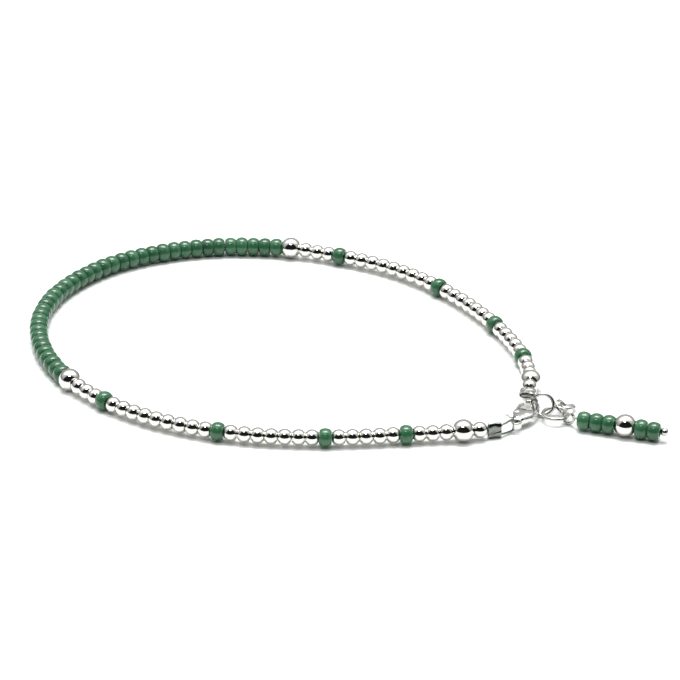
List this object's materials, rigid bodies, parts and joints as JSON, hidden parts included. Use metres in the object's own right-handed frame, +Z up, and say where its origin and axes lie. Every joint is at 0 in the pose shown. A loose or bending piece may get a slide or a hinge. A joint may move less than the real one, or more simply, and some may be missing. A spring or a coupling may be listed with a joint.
{
  "type": "beaded anklet",
  "caption": "Anklet of green glass and silver ball beads on wire, closed by a lobster clasp into a jump ring, with a beaded drop at the clasp.",
  "frame": {"origin": "middle of the part's bounding box, on the surface that the anklet lies on", "axes": "+Z up from the surface, +X towards the clasp's drop, -Y towards the clasp's end of the string"},
  "size_m": [0.0988, 0.071, 0.0038],
  "materials": {
    "silver": "highly polished silver",
    "green_glass": "opaque jade-green glass, glossy",
    "wire": "bright beading wire"
  },
  "bodies": {
    "anklet": {"near_end_bead": "silver", "near_ball_end": "silver", "near_run_1": "silver", "near_green_1": "green_glass", "near_run_2": "silver", "near_green_2": "green_glass", "near_run_3": "silver", "near_green_3": "green_glass", "near_run_4": "silver", "near_green_4": "green_glass", "near_run_5": "silver", "near_ball_run": "silver", "green_bead_run": "green_glass", "far_ball_run": "silver", "far_run_5": "silver", "far_green_4": "green_glass", "far_run_4": "silver", "far_green_3": "green_glass", "far_run_3": "silver", "far_green_2": "green_glass", "far_run_2": "silver", "far_green_1": "green_glass", "far_run_1": "silver", "far_ball_end": "silver", "far_end_bead": "silver", "drop_green_1": "green_glass", "drop_green_2": "green_glass", "drop_green_3": "green_glass", "drop_ball": "silver", "drop_green_4": "green_glass", "drop_green_5": "green_glass", "headpin": "silver", "ring_a": "silver", "ring_b": "silver", "ring_c": "silver", "ring_d": "silver", "near_crimp": "silver", "far_crimp": "silver", "beading_wire": "wire", "clasp_body": "silver"},
    "lever": {"clasp_lever": "silver"}
  },
  "joints": [
    {"name": "lever_pivot", "type": "hinge", "parent": "anklet", "child": "lever", "pos_m": [0.02694, -0.02582, 0.00137], "axis": [-0.0104, -0.024, 0.9997], "range_deg": [-14, 0], "stiffness_Nm_per_rad": 0.002, "springref_deg": 20.05}
  ]
}
